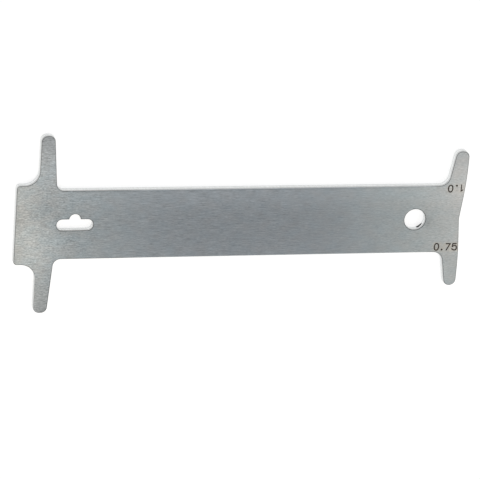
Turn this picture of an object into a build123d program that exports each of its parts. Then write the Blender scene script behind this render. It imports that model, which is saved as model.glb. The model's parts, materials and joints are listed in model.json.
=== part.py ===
from build123d import *
import os

# A chain wear gauge: one flat steel plate with a pair of teeth at each end.
# Lengths are in millimetres. The plate lies on its back face at z = 0 with its front face up.
# X runs along the bar from the seating teeth to the measuring teeth, Y across it.

# The chain being measured
LINK_PITCH = 12.7
ROLLER_DIAMETER = 7.75
LINKS_SPANNED = 10
WEAR_LOWER_SIDE = 0.0075
WEAR_UPPER_SIDE = 0.01

# The sheet
SHEET_THICKNESS = 2.0
FRONT_EDGE_RADIUS = 0.25
BACK_EDGE_CHAMFER = 0.1

# The bar
BAR_WIDTH = 19.8

# The block behind the seating teeth
BLOCK_LENGTH = 6.05
BLOCK_STEP = 1.5
BLOCK_CORNER_RADIUS = 1.0
HEEL_RADIUS = 4.0

# The seating teeth, on the left
SEAT_DEPTH = 15.6
SEAT_ROOT_WIDTH = 5.0
SEAT_TIP_WIDTH = 3.75
SEAT_TIP_RADIUS = 1.65
SEAT_ROOT_RADIUS = 2.1

# The measuring teeth, on the right
MEASURE_DEPTH = 10.05
MEASURE_ROOT_WIDTH = 5.4
MEASURE_TIP_WIDTH = 3.7
MEASURE_TIP_RADIUS = 1.8
MEASURE_ROOT_RADIUS = 2.9

# The shallow notch across the right end
NOTCH_DEPTH = 1.18
NOTCH_REACH = 10.8
NOTCH_BLEND_RADIUS = 100

# The round hole, placed from the upper measuring flank
HOLE_DIAMETER = 6.0
HOLE_FROM_FLANK = 14.1

# The hanging slot, placed from the seating flank
SLOT_LENGTH = 10.0
SLOT_HEIGHT = 3.1
SLOT_FROM_FLANK = 10.3
SLOT_NOTCH_DIAMETER = 3.1
SLOT_NOTCH_RISE = 1.5


def flank_spacing(wear):
    """Distance between the outer flanks that just drops into a chain worn by this fraction."""
    return LINKS_SPANNED * LINK_PITCH * (1 + wear) - ROLLER_DIAMETER


def side_corners(wear):
    """Corners of the outline on one side of the centreline, as (x, distance from it, radius).

    They run left to right, and x = 0 is the seating flank.
    """
    half_bar = BAR_WIDTH / 2
    half_block = half_bar + BLOCK_STEP
    seat_tip = half_bar + SEAT_DEPTH
    measure_tip = half_bar + MEASURE_DEPTH
    flank = flank_spacing(wear)
    inner_root = flank_spacing(WEAR_UPPER_SIDE) - MEASURE_ROOT_WIDTH
    inner_tip = flank_spacing(WEAR_UPPER_SIDE) - MEASURE_TIP_WIDTH
    return [
        (-BLOCK_LENGTH, half_block, BLOCK_CORNER_RADIUS),
        (0, half_block, HEEL_RADIUS),
        (0, seat_tip, SEAT_TIP_RADIUS),
        (SEAT_TIP_WIDTH, seat_tip, SEAT_TIP_RADIUS),
        (SEAT_ROOT_WIDTH, half_bar, SEAT_ROOT_RADIUS),
        (inner_root, half_bar, MEASURE_ROOT_RADIUS),
        (inner_tip, measure_tip, MEASURE_TIP_RADIUS),
        (flank, measure_tip, MEASURE_TIP_RADIUS),
        (flank, NOTCH_REACH, NOTCH_BLEND_RADIUS),
    ]


def outline_face():
    """The blank's outline: upper side for the larger wear, lower side for the smaller."""
    upper = side_corners(WEAR_UPPER_SIDE)
    lower = [(x, -y, radius) for x, y, radius in reversed(side_corners(WEAR_LOWER_SIDE))]
    notch_root = (flank_spacing(WEAR_UPPER_SIDE) - NOTCH_DEPTH, 0, 0)
    corners = upper + [notch_root] + lower
    points = [(x, y) for x, y, radius in corners]
    radii = [radius for x, y, radius in corners]
    return make_face(FilletPolyline(*points, radius=radii, close=True))


def round_hole():
    """The hole that takes a peg, on the centreline near the measuring teeth."""
    x = flank_spacing(WEAR_UPPER_SIDE) - HOLE_FROM_FLANK
    return Pos(x, 0) * Circle(HOLE_DIAMETER / 2)


def hanging_slot():
    """A slot with round ends and a round notch in the middle of its upper side, for a hook."""
    slot = SlotOverall(SLOT_LENGTH, SLOT_HEIGHT)
    notch = Pos(0, SLOT_NOTCH_RISE) * Circle(SLOT_NOTCH_DIAMETER / 2)
    return Pos(SLOT_FROM_FLANK, 0) * (slot + notch)


def gauge_plate():
    """The whole plate, blanked and pierced, its front edges rolled over and its back ones deburred."""
    blank = outline_face() - round_hole() - hanging_slot()
    plate = extrude(blank, SHEET_THICKNESS)
    plate = fillet(plate.edges().group_by(Axis.Z)[-1], FRONT_EDGE_RADIUS)
    plate = chamfer(plate.edges().group_by(Axis.Z)[0], BACK_EDGE_CHAMFER)
    middle = plate.bounding_box().center()
    return Pos(-middle.X, -middle.Y) * plate


os.makedirs("parts", exist_ok=True)
export_step(gauge_plate(), "parts/gauge_plate.step")
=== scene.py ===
import json
import math

import bmesh
import bpy
from bpy.props import FloatProperty, FloatVectorProperty, PointerProperty
from bpy.types import Operator, Panel, PropertyGroup
from mathutils import Matrix, Vector


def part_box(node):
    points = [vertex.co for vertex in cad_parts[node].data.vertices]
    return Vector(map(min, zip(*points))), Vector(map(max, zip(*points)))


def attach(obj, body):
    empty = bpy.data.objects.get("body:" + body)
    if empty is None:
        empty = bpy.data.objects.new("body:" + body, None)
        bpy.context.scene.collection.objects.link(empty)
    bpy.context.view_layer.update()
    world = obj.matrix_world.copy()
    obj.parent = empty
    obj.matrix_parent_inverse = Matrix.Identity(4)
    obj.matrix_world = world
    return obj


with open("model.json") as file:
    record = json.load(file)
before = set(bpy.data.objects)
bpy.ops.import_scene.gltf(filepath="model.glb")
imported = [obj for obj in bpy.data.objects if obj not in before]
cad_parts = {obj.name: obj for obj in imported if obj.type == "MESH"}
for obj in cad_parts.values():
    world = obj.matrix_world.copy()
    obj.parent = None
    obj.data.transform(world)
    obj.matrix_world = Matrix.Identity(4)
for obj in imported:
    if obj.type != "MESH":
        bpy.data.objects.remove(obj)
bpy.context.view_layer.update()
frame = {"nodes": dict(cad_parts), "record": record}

bl_info = {
    "name": "Chain Wear Gauge",
    "version": (1, 0, 0),
    "blender": (4, 5, 0),
    "location": "View3D > Sidebar > Gauge",
    "description": "Brushes the steel of a chain wear gauge, marks its figures and lights it",
    "category": "Object",
}

# The gauge lies on its back face at z = 0, with its front face up. Lengths are in metres.
PLATE = "gauge_plate"
PLATE_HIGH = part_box(PLATE)[1]
FRONT_FACE = PLATE_HIGH.z
RIGHT_END = PLATE_HIGH.x
MM = 0.001

# The radius that rolls the plate's front edges over, and the bevel that breaks its back ones
FRONT_RIM = 0.25 * MM
BACK_RIM = 0.1 * MM

# The round hole's place and size, as the record states its mount
HOLE = next(mount for mount in frame["record"]["mounts"] if mount["name"] == "round_hole")
HOLE_PLACE = Vector((*HOLE["pos_m"][:2], 0))
HOLE_RADIUS = HOLE["dims"]["r_mm"] * MM

# Dark spots low on its wall: each one's angle from the X axis in degrees, and its size
DARK_SPOTS = ((-60, 0.66 * MM), (-48, 0.52 * MM), (-42.5, 0.42 * MM), (-37, 0.3 * MM))
DARK_SPOT_HEIGHT = 0.6 * MM
DARK_SPOT_GRAIN = 0.2 * MM
# A dark spot ends at the first share of its size and is full at the second
DARK_SPOT_FADE = (1.5, 1.2)

# Soft-edged areas of the plate: a span along the bar and one across it, or none where the area has
# no limit. A span says where the area begins, is full, begins to fade and ends, in millimetres.
LOWER_SEAT = (-12, -15, -40, -50)
SLOT_RIM = ((-54, -52.5, -41, -39.5), (-3.5, -2, 3.8, 5))
LONG_EDGES = ((-37, -27, 52, 56), (7, 8.5, 10.2, 11))
LOWER_SEAT_FLANK = ((-60, -58, -56.6, -54.6), LOWER_SEAT)
LOWER_SEAT_SIDE = ((-55, -54, -51, -49), LOWER_SEAT)
LOWER_SEAT_TIP = (None, (-23.5, -24.8, -40, -50))
UPPER_HALF = (None, (1, 9.5, 14, 26))
LOWER_HALF = (None, (-1, -9.5, -14, -26))
LEFT_END = ((-60, -63, -80, -90), None)
BAR_MIDDLE = ((-32, -12, 16, 36), (-11, -4, 2, 8))
# A thin band of painted shade just inside the face's upper edge
UPPER_EDGE_SHADE = ((-52, -49, 49, 52), (9.25, 9.4, 9.6, 9.7))
# How far past the round hole its wider painted dark line of shade is full, and how far it has turned
# into the usual one
HOLE_MARGIN = (0.6, 1.2)

# Painted light and shade: how much brighter or darker each area of the face is painted, standing in
# for brighter and darker reflections
PAINTED_LIGHT_AREAS = (
    (UPPER_HALF, 0.148),
    (LOWER_HALF, 0.026),
    (LEFT_END, -0.06),
    (BAR_MIDDLE, -0.04),
    (LOWER_SEAT_FLANK, 0.05),
    (LOWER_SEAT_SIDE, -0.03),
    (LOWER_SEAT_TIP, -0.06),
    (UPPER_EDGE_SHADE, -0.13),
)
# The same painted light and shade for round places: x and y of the centre, inner and outer radius in
# millimetres, and gain
PAINTED_LIGHT_PATCHES = (
    (-57, -6.5, 2, 12, 0.153),  # the face beside the lower heel
    (-54.5, 5.5, 1, 8, -0.066),  # left of the slot
    (-55.6, 18, 2, 9, 0.16),  # the upper seating tooth
    (52.8, -0.6, 0.8, 2.4, -0.13),  # right of the round hole
    (58.5, -18, 1, 6, 0.09),  # the lower measuring tooth's tip
    (-62.4, -7.6, 1, 4.5, -0.07),  # the lower left corner
)

# The painted dark line of shade between wall and face starts this share of the front rim under the
# face: the usual line, and the wider one of the openings and of the lower seating tooth
LINE_SHARE = 0.1
WIDE_LINE_SHARE = 0.18
# The depth over which the wall turns into the line, and the two depths under the face between which
# the line fades
LINE_BLUR = 0.02 * MM
LINE_END = (0.0024 * MM, 0.0004 * MM)
# The wall starts this share of the back bevel above the back face
WALL_START = 0.3
# How much of that painted dark line the lower seating tooth's flank gives up to a painted highlight,
# and how bright the painted highlight is
FLANK_HIGHLIGHT = 0.7
RIM_HIGHLIGHT_GAIN = 1.35

# Where the brush's work changes, in millimetres along the bar. Towards the seating teeth it left a
# rougher, more speckled face.
COARSE_SLOPE = (-30, -54)
# Towards the measuring teeth its short marks take a larger share
SHORT_SLOPE = (30, 52)
SHORT_SHARE = (0.45, 0.72)
# Right of the middle it pressed less hard, and least of all before the round hole. The shares are
# what the grain loses of its contrast.
CALM_SLOPE = (8, 22)
CALM_SHARE = 0.2
CALMEST_SPAN = (8, 22, 40, 52)
CALMEST_SHARE = 0.12

# Long and short brush marks, as shares of the usual length, and specks, streaks and other patches,
# as shares of their width
LONG_MARK = 1.5
SHORT_MARK = 0.42
SPECK_STRETCH = 2.7
STREAK_STRETCH = 8
TINT_STRETCH = 1.4
CLOUD_WIDTH_SHARE = 0.6
# How much darker and lighter the fainter marks are. Streaks have a share of the specks' contrast.
STREAK_SHARE = 0.7
SCRATCH_CONTRAST = 0.06
CLOUD_CONTRAST = 0.025
# A noise this deep doesn't change through the sheet
THROUGH = 1000 * MM
# Length of the upright lines that cutting left on the walls
STRIA_LENGTH = 3 * MM
# Roughness of the noises whose marks have ragged edges
RAGGED = 0.6

# The part of a noise's range that carries its full effect, from the softest marks to the sharpest
WIDE_RANGE = (0.2, 0.8)
LINE_RANGE = (0.25, 0.75)
SOFT_RANGE = (0.3, 0.7)
BLOTCH_RANGE = (0.35, 0.65)
SHARP_RANGE = (0.39, 0.61)

# Tints of the face colour: its cooler and warmer patches, and the steel that the laser warmed
COOL_TINT = (0.978, 1.002, 1.014)
WARM_TINT = (1.022, 0.999, 0.985)
HEAT_TINT = (1.13, 1.035, 0.94)
# Size of the heat tint's blotches, and how much of the tint is left between them
HEAT_BLOTCH = 1.2 * MM
HEAT_LEAST = 0.3
# How far inside the figures' box the heat tint is full, as a share of its reach outside
HEAT_INSET = 0.3
# Distances from the centreline over which the coarse face turns warm towards its teeth's tips
TIP_SLOPE = (15, 21)

# Where painted shade darkens the wall towards the back face and where it rolls over to the front, as
# shares of the sheet's thickness
FOOT_SLOPE = (0.25, 0.42)
ROLL_SLOPE = (0.55, 0.78)
# Brightness of the wall's dark and light lines
STRIA_LEVEL = (0.88, 1.06)

# Roughness in the low and in the high places of the face, of the wall and of a burned line
FACE_ROUGHNESS = (0.36, 0.32)
WALL_ROUGHNESS = (0.52, 0.40)
BURN_ROUGHNESS = (0.62, 0.48)
# Depths of the marks that the brush and the laser left, and how strongly they turn the light
BRUSH_DEPTH = 0.006 * MM
BRUSH_BUMP = 0.35
BURN_DEPTH = 0.004 * MM
BURN_BUMP = 0.4
# Heights of the longer brush lines and of the wall's lines, as shares of the grain's
SCRATCH_HEIGHT = 0.6
STRIA_HEIGHT = 2.0
# The brush marks run along X, so the light spreads along this direction across them
TANGENT = (0.03, 1.0, 0.12)
ANISOTROPY = 0.6
# The spots that the laser's pulses left, and the brightness of their middles and overlaps
BURN_SPOT = 0.09 * MM
BURN_LEVEL = (0.6, 1.7)

# How finely the balls, the pipes and the bends of the figures are divided
BALL_DIVISIONS = (16, 8)
PIPE_DIVISIONS = 4
BEND_DIVISIONS = 8

# The floor's grey, how much of white it adds to what the camera and the steel see of it, and how
# far it lies under the plate
FLOOR_GREY = 0.5
FLOOR_LIFT = 0.65
FLOOR_DROP = 0.02 * MM
FLOOR_ROUGHNESS = 0.9
# Width in millimetres of the picture that the camera's focal length is meant for
SENSOR_WIDTH = 36


class SteelFinish(PropertyGroup):
    """The look of the brushed faces and of the cut edges."""

    face_colour: FloatVectorProperty(
        name="Face colour",
        description="Colour of the brushed faces",
        subtype="COLOR",
        default=(0.298, 0.322, 0.342),
        min=0,
        max=1,
    )
    edge_colour: FloatVectorProperty(
        name="Cut edge colour",
        description="Colour of the walls where the sheet was cut, which are brighter than its faces",
        subtype="COLOR",
        default=(0.90, 0.915, 0.915),
        min=0,
        max=1,
    )
    # Painted shade on the wall beside the back face
    foot_shade_level: FloatProperty(
        name="Foot level",
        description="Brightness of the wall beside the back face, as a share of its middle's",
        subtype="FACTOR",
        default=0.87,
        min=0,
        max=1,
    )
    # Painted shade on the wall where it rolls over to the front
    roll_shade_level: FloatProperty(
        name="Rolled level",
        description="Brightness of the wall where it rolls over to the front, as a share of its middle's",
        subtype="FACTOR",
        default=0.70,
        min=0,
        max=1,
    )
    # The painted shade of the dark line where the rolled rim meets the face
    rim_shade_level: FloatProperty(
        name="Rim level",
        description="Brightness of the line where the rolled rim meets the face, as a share of the face's",
        subtype="FACTOR",
        default=0.2,
        min=0,
        max=1,
    )
    # The dark spots low on the round hole's wall take this colour
    dark_spot_colour: FloatVectorProperty(
        name="Stain colour",
        description="Colour of the grime on the wall of the round hole",
        subtype="COLOR",
        default=(0.02, 0.02, 0.02),
        min=0,
        max=1,
    )
    grain_length: FloatProperty(
        name="Grain length",
        description="Usual length of a brush mark along the bar",
        unit="LENGTH",
        default=2.2 * MM,
    )
    grain_width: FloatProperty(
        name="Grain width",
        description="Width of one brush mark",
        unit="LENGTH",
        default=0.14 * MM,
    )
    grain_contrast: FloatProperty(
        name="Grain contrast",
        description="How much darker and lighter the brush marks are than the steel",
        subtype="FACTOR",
        default=0.53,
        min=0,
        max=1,
    )
    speck_size: FloatProperty(
        name="Speck size",
        description="Size of the specks between the brush marks near the seating teeth",
        unit="LENGTH",
        default=0.22 * MM,
    )
    speck_contrast: FloatProperty(
        name="Speck contrast",
        description="How much darker and lighter the specks are than the steel",
        subtype="FACTOR",
        default=0.24,
        min=0,
        max=1,
    )
    scratch_length: FloatProperty(
        name="Scratch length",
        description="Length of the longer, fainter brush lines",
        unit="LENGTH",
        default=6 * MM,
    )
    scratch_width: FloatProperty(
        name="Scratch width",
        description="Width of the longer brush lines",
        unit="LENGTH",
        default=0.24 * MM,
    )
    cloud_size: FloatProperty(
        name="Cloud size",
        description="Size of the soft patches where the brushing pressed more or less",
        unit="LENGTH",
        default=6 * MM,
    )
    tint_size: FloatProperty(
        name="Tint size",
        description="Size of the warmer and cooler patches",
        unit="LENGTH",
        default=3 * MM,
    )
    stria_width: FloatProperty(
        name="Stria width",
        description="Width of the upright lines that cutting left on the walls",
        unit="LENGTH",
        default=0.12 * MM,
    )


class FigureMarks(PropertyGroup):
    """The figures that a laser burned beside the measuring teeth."""

    height: FloatProperty(
        name="Figure height",
        description="Height of a figure, to the outside of its strokes",
        unit="LENGTH",
        default=2.3 * MM,
    )
    stroke: FloatProperty(
        name="Stroke width",
        description="Width of the laser's line",
        unit="LENGTH",
        default=0.38 * MM,
    )
    relief: FloatProperty(
        name="Relief",
        description="How far the burned line stands proud of the face",
        unit="LENGTH",
        default=0.012 * MM,
    )
    colour: FloatVectorProperty(
        name="Burned colour",
        description="Brown of the burned steel",
        subtype="COLOR",
        default=(0.024, 0.015, 0.010),
        min=0,
        max=1,
    )
    heat_reach: FloatProperty(
        name="Heat reach",
        description="How far the warm tint of the heated steel reaches past the figures",
        unit="LENGTH",
        default=0.8 * MM,
    )
    from_right_end: FloatProperty(
        name="From the right end",
        description="Distance from the plate's right end to the middle of the last figure of 0.75",
        unit="LENGTH",
        default=1.72 * MM,
    )
    from_centreline: FloatProperty(
        name="From the centreline",
        description="Distance from the bar's centreline to the baseline of 0.75",
        unit="LENGTH",
        default=9.5 * MM,
    )
    upper_from_right_end: FloatProperty(
        name="Upper from the right end",
        description="Distance from the plate's right end to the middle of the last figure of 1.0",
        unit="LENGTH",
        default=4.6 * MM,
    )
    upper_from_centreline: FloatProperty(
        name="Upper from the centreline",
        description="Distance from the bar's centreline to the baseline of 1.0",
        unit="LENGTH",
        default=10.24 * MM,
    )


class StudioStage(PropertyGroup):
    """The floor, the light and the camera."""

    floor_size: FloatProperty(
        name="Floor size",
        description="Length of a side of the square floor",
        unit="LENGTH",
        default=6,
    )
    sky_level: FloatProperty(
        name="Sky level",
        description="Strength of the even light from all round",
        default=0.774,
    )
    camera_aim: FloatVectorProperty(
        name="Camera aim",
        description="Point on the front face that the camera looks at",
        subtype="TRANSLATION",
        unit="LENGTH",
        default=(-0.59 * MM, -5.04 * MM, FRONT_FACE),
    )
    camera_distance: FloatProperty(
        name="Camera distance",
        description="Distance from the camera to the point that it looks at",
        unit="LENGTH",
        default=808.5 * MM,
    )
    camera_azimuth: FloatProperty(
        name="Camera azimuth",
        description="Direction of the camera round the plate, from the side of the lower teeth",
        subtype="ANGLE",
        unit="ROTATION",
        default=math.radians(-145.131),
    )
    camera_elevation: FloatProperty(
        name="Camera elevation",
        description="Height of the camera above the plate's plane",
        subtype="ANGLE",
        unit="ROTATION",
        default=math.radians(64.547),
    )
    camera_roll: FloatProperty(
        name="Camera roll",
        description="Turn of the camera about its line of sight",
        subtype="ANGLE",
        unit="ROTATION",
        default=math.radians(146.809),
    )
    camera_lens: FloatProperty(
        name="Focal length",
        description="Focal length for a picture 36 mm wide",
        unit="CAMERA",
        default=221.07,
    )


def add_node(tree, kind, **settings):
    """A new node of a tree, with its own settings."""
    made = tree.nodes.new(kind)
    for name, value in settings.items():
        setattr(made, name, value)
    return made


def noise(tree, coordinates, size, detail=2.0, roughness=0.5):
    """Noise from 0 to 1 whose features measure size, in metres, along X, Y and Z."""
    scaled = add_node(tree, "ShaderNodeMapping")
    scaled.inputs["Scale"].default_value = [1 / length for length in size]
    tree.links.new(coordinates, scaled.inputs["Vector"])
    made = add_node(tree, "ShaderNodeTexNoise")
    made.inputs["Scale"].default_value = 1
    made.inputs["Detail"].default_value = detail
    made.inputs["Roughness"].default_value = roughness
    tree.links.new(scaled.outputs["Vector"], made.inputs["Vector"])
    return made.outputs["Fac"]


def remap(tree, value, low, high, to_low=0.0, to_high=1.0, smooth=False):
    """A value between low and high, carried to a range of its own."""
    made = add_node(tree, "ShaderNodeMapRange")
    made.interpolation_type = "SMOOTHSTEP" if smooth else "LINEAR"
    made.inputs["From Min"].default_value = low
    made.inputs["From Max"].default_value = high
    made.inputs["To Min"].default_value = to_low
    made.inputs["To Max"].default_value = to_high
    tree.links.new(value, made.inputs["Value"])
    return made.outputs["Result"]


def combine(tree, operation, first, second):
    """Two values, or a value and a number, put together by a Math node."""
    made = add_node(tree, "ShaderNodeMath", operation=operation)
    for socket, value in zip(made.inputs, (first, second)):
        if isinstance(value, (int, float)):
            socket.default_value = value
        else:
            tree.links.new(value, socket)
    return made.outputs["Value"]


def blend_values(tree, factor, first, second):
    """The first value where factor is 0 and the second where it is 1."""
    made = add_node(tree, "ShaderNodeMix", data_type="FLOAT")
    for name, value in (("Factor", factor), ("A", first), ("B", second)):
        socket = made.inputs[name]
        if isinstance(value, (int, float)):
            socket.default_value = value
        else:
            tree.links.new(value, socket)
    return made.outputs["Result"]


def blend_colours(tree, factor, first, second):
    """The first colour where factor is 0 and the second where it is 1."""
    made = add_node(tree, "ShaderNodeMix", data_type="RGBA")
    tree.links.new(factor, made.inputs[0])
    for socket, colour in ((made.inputs[6], first), (made.inputs[7], second)):
        if isinstance(colour, bpy.types.NodeSocket):
            tree.links.new(colour, socket)
        else:
            socket.default_value = (*colour, 1)
    return made.outputs[2]


def swing(tree, value, limits, amount):
    """A level that runs from 1 less an amount to 1 more, as the value runs between its limits."""
    return remap(tree, value, *limits, 1 - amount, 1 + amount)


def slope(tree, value, ends, low=0.0, high=1.0):
    """A level that changes softly from low to high between two places in millimetres."""
    start, end = ends
    return remap(tree, value, start * MM, end * MM, low, high, smooth=True)


def shade(tree, colour, level):
    """A colour made darker or lighter by a level round 1."""
    made = add_node(tree, "ShaderNodeVectorMath", operation="SCALE")
    if isinstance(colour, bpy.types.NodeSocket):
        tree.links.new(colour, made.inputs[0])
    else:
        made.inputs[0].default_value = tuple(colour)
    tree.links.new(level, made.inputs["Scale"])
    return made.outputs["Vector"]


def roughen(tree, shader, height, strength, depth):
    """Bump on a shader, whose height of 0 to 1 stands for that depth."""
    bump = add_node(tree, "ShaderNodeBump")
    bump.inputs["Strength"].default_value = strength
    bump.inputs["Distance"].default_value = depth
    tree.links.new(height, bump.inputs["Height"])
    tree.links.new(bump.outputs["Normal"], shader.inputs["Normal"])


def empty_material(name):
    """A material with a Principled shader, and its node tree and shader."""
    material = bpy.data.materials.new(name)
    material.use_nodes = True
    tree = material.node_tree
    shader = next(n for n in tree.nodes if n.type == "BSDF_PRINCIPLED")
    return material, tree, shader


def distance(tree, position, centre):
    """How far a position lies from a centre."""
    made = add_node(tree, "ShaderNodeVectorMath", operation="DISTANCE")
    tree.links.new(position, made.inputs[0])
    made.inputs[1].default_value = centre
    return made.outputs["Value"]


def band(tree, value, rise, full, fade, end):
    """A factor that rises to 1 and falls back to 0 along a value."""
    rising = remap(tree, value, rise, full, smooth=True)
    falling = remap(tree, value, fade, end, 1, 0, smooth=True)
    return combine(tree, "MULTIPLY", rising, falling)


def area(tree, axes, spans):
    """A factor that is 1 in a soft-edged area of the plate and 0 outside it."""
    factor = 1
    for value, span in zip(axes, spans):
        if span:
            factor = combine(tree, "MULTIPLY", factor, band(tree, value, *[place * MM for place in span]))
    return factor


def patch(tree, position, x, y, inner, outer):
    """A factor that is 1 within the inner radius round a place on the face and 0 beyond the outer one.

    The place and the radii are in millimetres.
    """
    away = distance(tree, position, (x * MM, y * MM, FRONT_FACE))
    return remap(tree, away, inner * MM, outer * MM, 1, 0, smooth=True)


def hole_dark_spots(tree, position):
    """A factor that is 1 in the dark spots on the wall of the round hole."""
    rough = noise(tree, position, (DARK_SPOT_GRAIN, DARK_SPOT_GRAIN, DARK_SPOT_GRAIN))
    dark_spots = 0
    for angle, size in DARK_SPOTS:
        turn = math.radians(angle)
        spot = HOLE_PLACE + Vector((math.cos(turn), math.sin(turn), 0)) * HOLE_RADIUS
        spot.z = DARK_SPOT_HEIGHT
        away = distance(tree, position, spot)
        ragged = combine(tree, "ADD", away, combine(tree, "MULTIPLY", rough, size))
        dark_spot = remap(tree, ragged, *[share * size for share in DARK_SPOT_FADE], smooth=True)
        dark_spots = combine(tree, "MAXIMUM", dark_spots, dark_spot)
    return dark_spots


def heat_tint(tree, axes, marks):
    """A factor that is 1 where the laser warmed the steel between and round its figures."""
    reach = marks.heat_reach
    inset = HEAT_INSET * reach
    tint = 0
    for _, text, place in figure_places(marks):
        start, end = line_span(text, marks)
        corners = [place @ Vector((start, 0, 0)), place @ Vector((end, marks.height, 0))]
        box = 1
        for axis, value in enumerate(axes[:2]):
            low, high = sorted(corner[axis] for corner in corners)
            edge = band(tree, value, low - reach, low + inset, high - inset, high + reach)
            box = combine(tree, "MULTIPLY", box, edge)
        tint = combine(tree, "MAXIMUM", tint, combine(tree, "MULTIPLY", box, HEAT_SHARE[text]))
    return tint


def rim_masks(tree, position, axes):
    """Factors of the cut wall, of the painted shade line beside the face and of its painted highlight."""
    along, across, depth = axes
    hole = [length / MM for length in (HOLE_PLACE.x, HOLE_PLACE.y)]
    wide = patch(tree, position, *hole, *[HOLE_RADIUS / MM + margin for margin in HOLE_MARGIN])
    for spans in (SLOT_RIM, LOWER_SEAT_TIP, LOWER_SEAT_SIDE):
        wide = combine(tree, "MAXIMUM", wide, area(tree, axes, spans))
    usual = remap(tree, wide, 0, 1, 1, 0)

    wall, line = 0, 0
    wall_start = WALL_START * BACK_RIM
    line_fade = [FRONT_FACE - under for under in LINE_END]
    for share, place in ((LINE_SHARE, usual), (WIDE_LINE_SHARE, wide)):
        wall_end = FRONT_FACE - share * FRONT_RIM
        bright = band(tree, depth, wall_start, BACK_RIM, wall_end - LINE_BLUR, wall_end)
        dark = band(tree, depth, wall_end - LINE_BLUR, wall_end, *line_fade)
        wall = combine(tree, "ADD", wall, combine(tree, "MULTIPLY", bright, place))
        line = combine(tree, "ADD", line, combine(tree, "MULTIPLY", dark, place))

    # A painted highlight replaces the line along the bar and most of it beside the lower seating tooth
    from_middle = combine(tree, "ABSOLUTE", across, 0)
    edge_highlight = area(tree, (along, from_middle), LONG_EDGES)
    flank = combine(tree, "MULTIPLY", area(tree, axes, LOWER_SEAT_FLANK), FLANK_HIGHLIGHT)
    rim_highlight = combine(tree, "MULTIPLY", line, combine(tree, "MAXIMUM", edge_highlight, flank))
    return wall, combine(tree, "SUBTRACT", line, rim_highlight), rim_highlight


def wear(tree, position, axes):
    """Painted light and shade of the face, in place of its reflections, as a level round 1."""
    level = 1
    for spans, gain in PAINTED_LIGHT_AREAS:
        level = combine(tree, "ADD", level, combine(tree, "MULTIPLY", area(tree, axes, spans), gain))
    for *place, gain in PAINTED_LIGHT_PATCHES:
        level = combine(tree, "ADD", level, combine(tree, "MULTIPLY", patch(tree, position, *place), gain))
    return level


def brush_marks(tree, position, along, finish):
    """The noises of the brushed face: its grain, and the longer, fainter lines."""
    long_size = (finish.grain_length * LONG_MARK, finish.grain_width, THROUGH)
    short_size = (finish.grain_length * SHORT_MARK, finish.grain_width, THROUGH)
    long_grain = noise(tree, position, long_size)
    short_grain = noise(tree, position, short_size, roughness=RAGGED)
    shortness = slope(tree, along, SHORT_SLOPE, *SHORT_SHARE)
    grain = blend_values(tree, shortness, long_grain, short_grain)
    scratch = noise(tree, position, (finish.scratch_length, finish.scratch_width, THROUGH))
    return grain, scratch


def face_level(tree, position, axes, grain, scratch, coarse, finish):
    """The brightness of the brushed face, with its painted light and shade, as a level round 1."""
    along = axes[0]
    speck_size, contrast = finish.speck_size, finish.speck_contrast
    speck = noise(tree, position, (speck_size * SPECK_STRETCH, speck_size, THROUGH))
    streak = noise(tree, position, (speck_size * STREAK_STRETCH, speck_size, THROUGH))
    cloud_size = (finish.cloud_size, finish.cloud_size * CLOUD_WIDTH_SHARE, THROUGH)
    cloud = noise(tree, position, cloud_size, detail=3)

    calm = slope(tree, along, CALM_SLOPE, 0, CALM_SHARE)
    calmest = band(tree, along, *[place * MM for place in CALMEST_SPAN])
    calm = combine(tree, "ADD", calm, combine(tree, "MULTIPLY", calmest, CALMEST_SHARE))
    level = blend_values(tree, calm, swing(tree, grain, WIDE_RANGE, finish.grain_contrast), 1)

    specks = swing(tree, speck, SOFT_RANGE, contrast)
    streaks = swing(tree, streak, SOFT_RANGE, contrast * STREAK_SHARE)
    for part in (
        swing(tree, scratch, LINE_RANGE, SCRATCH_CONTRAST),
        swing(tree, cloud, SOFT_RANGE, CLOUD_CONTRAST),
        blend_values(tree, coarse, 1, combine(tree, "MULTIPLY", specks, streaks)),
        # The painted light and shade of the face
        wear(tree, position, axes),
    ):
        level = combine(tree, "MULTIPLY", level, part)
    return level


def face_tint(tree, position, axes, coarse, finish, marks):
    """The face's colour before its brightness: cool and warm patches, and the laser's warm tint."""
    tint = noise(tree, position, (finish.tint_size * TINT_STRETCH, finish.tint_size, THROUGH))
    blotch = noise(tree, position, (HEAT_BLOTCH, HEAT_BLOTCH, THROUGH), detail=1)
    cool, warm, heated = [
        [part * gain for part, gain in zip(finish.face_colour, gains)]
        for gains in (COOL_TINT, WARM_TINT, HEAT_TINT)
    ]

    # The patches are stronger on the coarse face, and the tips of its teeth are warm
    warmth = blend_values(tree, coarse, remap(tree, tint, *SOFT_RANGE), remap(tree, tint, *SHARP_RANGE))
    from_middle = combine(tree, "ABSOLUTE", axes[1], 0)
    tips = combine(tree, "MULTIPLY", coarse, slope(tree, from_middle, TIP_SLOPE))
    plain = blend_colours(tree, blend_values(tree, tips, warmth, 1), cool, warm)
    ragged = remap(tree, blotch, *BLOTCH_RANGE, HEAT_LEAST, 1)
    heat = combine(tree, "MULTIPLY", heat_tint(tree, axes, marks), ragged)
    return blend_colours(tree, heat, plain, heated)


def wall_level(tree, depth, stria, finish):
    """The brightness of the cut wall, with painted shade towards both faces, as a level round 1."""
    foot_ends = [share * FRONT_FACE for share in FOOT_SLOPE]
    roll_ends = [share * FRONT_FACE for share in ROLL_SLOPE]
    foot = remap(tree, depth, *foot_ends, finish.foot_shade_level, 1, smooth=True)
    rolled = remap(tree, depth, *roll_ends, 1, finish.roll_shade_level, smooth=True)
    level = combine(tree, "MULTIPLY", foot, rolled)
    return combine(tree, "MULTIPLY", level, remap(tree, stria, *LINE_RANGE, *STRIA_LEVEL))


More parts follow.
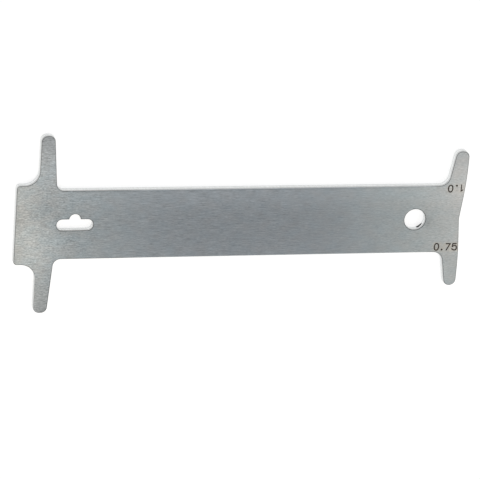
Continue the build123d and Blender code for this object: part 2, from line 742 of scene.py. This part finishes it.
def brushed_steel(finish, marks):
    """Steel brushed along X on its faces, cut upright on its walls and tinted round its figures."""
    material, tree, shader = empty_material("brushed_steel")
    position = add_node(tree, "ShaderNodeTexCoord").outputs["Object"]
    parts = add_node(tree, "ShaderNodeSeparateXYZ")
    tree.links.new(position, parts.inputs["Vector"])
    axes = [parts.outputs[axis] for axis in "XYZ"]
    along, depth = axes[0], axes[2]

    coarse = slope(tree, along, COARSE_SLOPE)
    grain, scratch = brush_marks(tree, position, along, finish)
    stria = noise(tree, position, (finish.stria_width, finish.stria_width, STRIA_LENGTH))
    wall, line, rim_highlight = rim_masks(tree, position, axes)

    level = face_level(tree, position, axes, grain, scratch, coarse, finish)
    # The painted dark line of shade round the face, and the painted highlight that replaces it
    for mask, gain in ((line, finish.rim_shade_level), (rim_highlight, RIM_HIGHLIGHT_GAIN)):
        level = combine(tree, "MULTIPLY", level, remap(tree, mask, 0, 1, 1, gain))
    face = shade(tree, face_tint(tree, position, axes, coarse, finish, marks), level)
    # The walls, with their painted shade towards both faces
    edge = shade(tree, finish.edge_colour, wall_level(tree, depth, stria, finish))
    steel = blend_colours(tree, wall, face, edge)
    steel = blend_colours(tree, hole_dark_spots(tree, position), steel, finish.dark_spot_colour)
    tree.links.new(steel, shader.inputs["Base Color"])

    face_roughness = remap(tree, grain, *WIDE_RANGE, *FACE_ROUGHNESS)
    wall_roughness = remap(tree, stria, *LINE_RANGE, *WALL_ROUGHNESS)
    roughness = blend_values(tree, wall, face_roughness, wall_roughness)
    tree.links.new(roughness, shader.inputs["Roughness"])

    face_height = combine(tree, "ADD", grain, combine(tree, "MULTIPLY", scratch, SCRATCH_HEIGHT))
    height = blend_values(tree, wall, face_height, combine(tree, "MULTIPLY", stria, STRIA_HEIGHT))
    roughen(tree, shader, height, BRUSH_BUMP, BRUSH_DEPTH)

    tangent = add_node(tree, "ShaderNodeCombineXYZ")
    for axis, length in zip("XYZ", TANGENT):
        tangent.inputs[axis].default_value = length
    turned = add_node(tree, "ShaderNodeVectorTransform", vector_type="VECTOR")
    turned.convert_from, turned.convert_to = "OBJECT", "WORLD"
    tree.links.new(tangent.outputs["Vector"], turned.inputs["Vector"])
    tree.links.new(turned.outputs["Vector"], shader.inputs["Tangent"])
    shader.inputs["Anisotropic"].default_value = ANISOTROPY
    shader.inputs["Metallic"].default_value = 1
    return material


def laser_mark(marks):
    """Steel burned brown by a laser, darker where the spots overlap."""
    material, tree, shader = empty_material("laser_mark")
    position = add_node(tree, "ShaderNodeTexCoord").outputs["Object"]
    speckle = noise(tree, position, (BURN_SPOT, BURN_SPOT, BURN_SPOT), roughness=RAGGED)
    level = remap(tree, speckle, *LINE_RANGE, *BURN_LEVEL)
    roughness = remap(tree, speckle, *LINE_RANGE, *BURN_ROUGHNESS)
    tree.links.new(shade(tree, marks.colour, level), shader.inputs["Base Color"])
    tree.links.new(roughness, shader.inputs["Roughness"])
    roughen(tree, shader, speckle, BURN_BUMP, BURN_DEPTH)
    return material


# Pen strokes of the figures. The cell is 1 high from the baseline, and x runs from its middle.
# A smooth stroke passes near its points, a straight one through them, and a dot has one point.
FIGURE_STROKES = {
    "0": [("ring", [(0, 1.1), (-0.25, 0.95), (-0.35, 0.53), (-0.25, 0.12),
                    (0, -0.01), (0.25, 0.12), (0.35, 0.53), (0.25, 0.95)])],
    ".": [("dot", [(-0.04, 0.1)])],
    "1": [("straight", [(0.12, 0), (0.12, 0.97)]),
          ("straight", [(0.12, 0.97), (-0.12, 0.78)])],
    "5": [("straight", [(0.22, 1), (-0.27, 1)]),
          ("straight", [(-0.27, 1), (-0.33, 0.54)]),
          ("smooth", [(-0.33, 0.54), (-0.12, 0.7), (0.24, 0.68), (0.34, 0.36),
                      (0.26, 0.03), (-0.12, -0.03), (-0.36, 0.18)])],
    "7": [("straight", [(-0.27, 1), (0.33, 1)]),
          ("straight", [(0.33, 1), (-0.19, 0.03)])],
}
# Widths of the cells, as shares of the cell's height
FIGURE_ADVANCE = {".": 0.72}
USUAL_ADVANCE = 1.015
# Where the laser drew lighter or heavier than its usual line
FIGURE_WEIGHT = {"1": 0.82, ".": 1.6}
# How strongly it tinted the steel round each line of figures
HEAT_SHARE = {"0.75": 1, "1.0": 0.45}


def figure_advances(text, marks):
    """The width of each figure's cell, in metres."""
    pen_height = marks.height - marks.stroke
    return [FIGURE_ADVANCE.get(c, USUAL_ADVANCE) * pen_height for c in text]


def line_span(text, marks):
    """Where a line of figures starts and ends, measured from its last figure's middle."""
    advances = figure_advances(text, marks)
    return advances[-1] / 2 - sum(advances), advances[-1] / 2


def figure_places(marks):
    """Each line of figures with its name and its place on the front face."""
    lower = Matrix.Translation((RIGHT_END - marks.from_right_end, -marks.from_centreline, FRONT_FACE))
    upper = Matrix.Translation(
        (RIGHT_END - marks.upper_from_right_end, marks.upper_from_centreline, FRONT_FACE)
    ) @ Matrix.Rotation(math.pi, 4, "Z")
    return ("figures_0.75", "0.75", lower), ("figures_1.0", "1.0", upper)


def ball(at, radius):
    """A small ball that rounds the end of a stroke, as a mesh."""
    shape = bmesh.new()
    segments, rings = BALL_DIVISIONS
    bmesh.ops.create_uvsphere(shape, u_segments=segments, v_segments=rings, radius=radius)
    bmesh.ops.translate(shape, verts=shape.verts, vec=(*at, 0))
    mesh = bpy.data.meshes.new("ball")
    shape.to_mesh(mesh)
    shape.free()
    return mesh


def tube(kind, points, radius):
    """A round line of that radius through a stroke's points, as a mesh."""
    curve = bpy.data.curves.new("stroke", "CURVE")
    curve.dimensions = "3D"
    curve.bevel_depth = radius
    curve.bevel_resolution = PIPE_DIVISIONS
    curve.use_fill_caps = True
    curve.resolution_u = BEND_DIVISIONS
    spline = curve.splines.new("POLY" if kind == "straight" else "NURBS")
    spline.points.add(len(points) - 1)
    for point, place in zip(spline.points, points):
        point.co = (*place, 0, 1)
    if kind != "straight":
        spline.use_cyclic_u = kind == "ring"
        spline.use_endpoint_u = kind == "smooth"
        spline.order_u = 3
    holder = bpy.data.objects.new("stroke", curve)
    mesh = bpy.data.meshes.new_from_object(holder)
    bpy.data.objects.remove(holder)
    bpy.data.curves.remove(curve)
    return mesh


def figure_line(name, text, marks, place):
    """A line of figures as one mesh object, its last figure's middle at the end of the line."""
    radius = marks.stroke / 2
    pen_height = marks.height - marks.stroke
    middle = line_span(text, marks)[0]
    line = bmesh.new()
    for character, advance in zip(text, figure_advances(text, marks)):
        centre = middle + advance / 2
        middle += advance
        pen = radius * FIGURE_WEIGHT.get(character, 1)
        for kind, points in FIGURE_STROKES[character]:
            path = [(x * pen_height + centre, y * pen_height + radius) for x, y in points]
            meshes = [tube(kind, path, pen)] if kind != "dot" else []
            if kind != "ring":
                meshes += [ball(end, pen) for end in {path[0], path[-1]}]
            for mesh in meshes:
                line.from_mesh(mesh)
                bpy.data.meshes.remove(mesh)
    bmesh.ops.scale(line, verts=line.verts, vec=(1, 1, marks.relief / radius))
    bmesh.ops.transform(line, verts=line.verts, matrix=place)
    bmesh.ops.recalc_face_normals(line, faces=line.faces)
    for face in line.faces:
        face.smooth = True
    mesh = bpy.data.meshes.new(name)
    line.to_mesh(mesh)
    line.free()
    piece = bpy.data.objects.new(name, mesh)
    bpy.context.scene.collection.objects.link(piece)
    return piece


class GAUGE_OT_brush_steel(Operator):
    """Give the plate its brushed faces and cut walls"""

    bl_idname = "gauge.brush_steel"
    bl_label = "Brush Steel"

    def execute(self, context):
        material = brushed_steel(context.scene.gauge_finish, context.scene.gauge_marks)
        plate = frame["nodes"][PLATE]
        for slot in plate.material_slots:
            slot.material = material
        return {"FINISHED"}


class GAUGE_OT_mark_figures(Operator):
    """Burn the wear figures beside the measuring teeth"""

    bl_idname = "gauge.mark_figures"
    bl_label = "Mark Figures"

    def execute(self, context):
        marks = context.scene.gauge_marks
        material = laser_mark(marks)
        for name, text, place in figure_places(marks):
            piece = figure_line(name, text, marks, place)
            piece.data.materials.append(material)
            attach(piece, "root")
        return {"FINISHED"}


def pale_floor():
    """A matt floor that reads as white to the camera and to the steel, and keeps the shadow."""
    material, tree, shader = empty_material("pale_floor")
    shader.inputs["Base Color"].default_value = (FLOOR_GREY, FLOOR_GREY, FLOOR_GREY, 1)
    shader.inputs["Roughness"].default_value = FLOOR_ROUGHNESS
    shader.inputs["Specular IOR Level"].default_value = 0
    path = add_node(tree, "ShaderNodeLightPath")
    seen = combine(tree, "MAXIMUM", path.outputs["Is Camera Ray"], path.outputs["Is Glossy Ray"])
    seen = combine(tree, "MAXIMUM", seen, path.outputs["Is Transmission Ray"])
    lift = combine(tree, "MULTIPLY", seen, FLOOR_LIFT)
    shader.inputs["Emission Color"].default_value = (1, 1, 1, 1)
    tree.links.new(lift, shader.inputs["Emission Strength"])
    return material


def white_surroundings(level):
    """An even pale sky that is plain white to the camera."""
    world = bpy.data.worlds.new("studio")
    world.use_nodes = True
    tree = world.node_tree
    tree.nodes.clear()
    path = add_node(tree, "ShaderNodeLightPath")
    strength = blend_values(tree, path.outputs["Is Camera Ray"], level, 1.0)
    background = add_node(tree, "ShaderNodeBackground")
    background.inputs["Color"].default_value = (1.0, 1.0, 1.0, 1)
    tree.links.new(strength, background.inputs["Strength"])
    output = add_node(tree, "ShaderNodeOutputWorld")
    tree.links.new(background.outputs["Background"], output.inputs["Surface"])
    return world


# Lamps over the ends of the plate: name, place, target and size in millimetres, glow and colour.
# The steel's ends mirror the warm ones, and the pale ones soften their edges.
LAMPS = (
    ("lamp_left", (-67, -29, 80), (-80, 2, 0), (40, 40), 1.92, (1.0, 0.84, 0.63)),
    ("lamp_right", (111, -25, 80), (80, 5, 0), (40, 40), 1.60, (1.0, 0.75, 0.61)),
    ("fill_left", (-34, -37, 80), (-50, -6, 0), (36, 50), 0.32, (0.95, 1.0, 0.84)),
    ("fill_right", (88, -35, 80), (60, -4, 0), (44, 60), 0.47, (0.96, 1.0, 0.80)),
)


def soft_lamp(name, place, target, size, glow, colour):
    """A flat lamp whose surface has the brightness glow, where 1 is white."""
    light = bpy.data.lights.new(name, "AREA")
    light.shape = "RECTANGLE"
    light.color = colour
    light.size, light.size_y = [length * MM for length in size]
    light.energy = glow * math.pi * light.size * light.size_y
    lamp = bpy.data.objects.new(name, light)
    lamp.location = Vector(place) * MM
    aim = Vector(target) - Vector(place)
    lamp.rotation_euler = aim.to_track_quat("-Z", "Y").to_euler()
    lamp.visible_camera = False
    bpy.context.scene.collection.objects.link(lamp)
    return lamp


def photo_camera(stage):
    """The camera at the distance and angles that the photograph was taken from."""
    data = bpy.data.cameras.new("camera")
    data.lens = stage.camera_lens
    data.sensor_width = SENSOR_WIDTH
    camera = bpy.data.objects.new("camera", data)
    flat = math.cos(stage.camera_elevation)
    back = Vector((
        math.sin(stage.camera_azimuth) * flat,
        -math.cos(stage.camera_azimuth) * flat,
        math.sin(stage.camera_elevation),
    ))
    level = Vector((0, 0, 1)).cross(back).normalized()
    upright = back.cross(level)
    right = level * math.cos(stage.camera_roll) + upright * math.sin(stage.camera_roll)
    up = back.cross(right)
    camera.matrix_world = Matrix.Translation(Vector(stage.camera_aim) + back * stage.camera_distance) @ (
        Matrix((right, up, back)).transposed().to_4x4()
    )
    bpy.context.scene.collection.objects.link(camera)
    return camera


class GAUGE_OT_set_stage(Operator):
    """Set the floor, the light and the camera round the gauge"""

    bl_idname = "gauge.set_stage"
    bl_label = "Set Stage"

    def execute(self, context):
        stage = context.scene.gauge_stage
        scene = context.scene
        shape = bmesh.new()
        bmesh.ops.create_grid(shape, x_segments=1, y_segments=1, size=stage.floor_size / 2)
        bmesh.ops.translate(shape, verts=shape.verts, vec=(0, 0, -FLOOR_DROP))
        mesh = bpy.data.meshes.new("floor")
        shape.to_mesh(mesh)
        shape.free()
        floor = bpy.data.objects.new("floor", mesh)
        floor.data.materials.append(pale_floor())
        scene.collection.objects.link(floor)
        scene.world = white_surroundings(stage.sky_level)
        for lamp in LAMPS:
            soft_lamp(*lamp)
        scene.camera = photo_camera(stage)
        scene.view_settings.view_transform = "Standard"
        return {"FINISHED"}


class GAUGE_PT_panel(Panel):
    """Lists the gauge's steps and settings"""

    bl_idname = "GAUGE_PT_panel"
    bl_label = "Chain Wear Gauge"
    bl_space_type = "VIEW_3D"
    bl_region_type = "UI"
    bl_category = "Gauge"

    def draw(self, context):
        for group, operator in (
            (context.scene.gauge_finish, GAUGE_OT_brush_steel),
            (context.scene.gauge_marks, GAUGE_OT_mark_figures),
            (context.scene.gauge_stage, GAUGE_OT_set_stage),
        ):
            box = self.layout.box()
            for name in group.__annotations__:
                box.prop(group, name)
            box.operator(operator.bl_idname)


CLASSES = (
    SteelFinish,
    FigureMarks,
    StudioStage,
    GAUGE_OT_brush_steel,
    GAUGE_OT_mark_figures,
    GAUGE_OT_set_stage,
    GAUGE_PT_panel,
)


def register():
    for cls in CLASSES:
        bpy.utils.register_class(cls)
    bpy.types.Scene.gauge_finish = PointerProperty(type=SteelFinish)
    bpy.types.Scene.gauge_marks = PointerProperty(type=FigureMarks)
    bpy.types.Scene.gauge_stage = PointerProperty(type=StudioStage)


def unregister():
    del bpy.types.Scene.gauge_stage
    del bpy.types.Scene.gauge_marks
    del bpy.types.Scene.gauge_finish
    for cls in reversed(CLASSES):
        bpy.utils.unregister_class(cls)


def main():
    register()
    bpy.ops.gauge.brush_steel()
    bpy.ops.gauge.mark_figures()
    bpy.ops.gauge.set_stage()


if __name__ == "__main__":
    main()
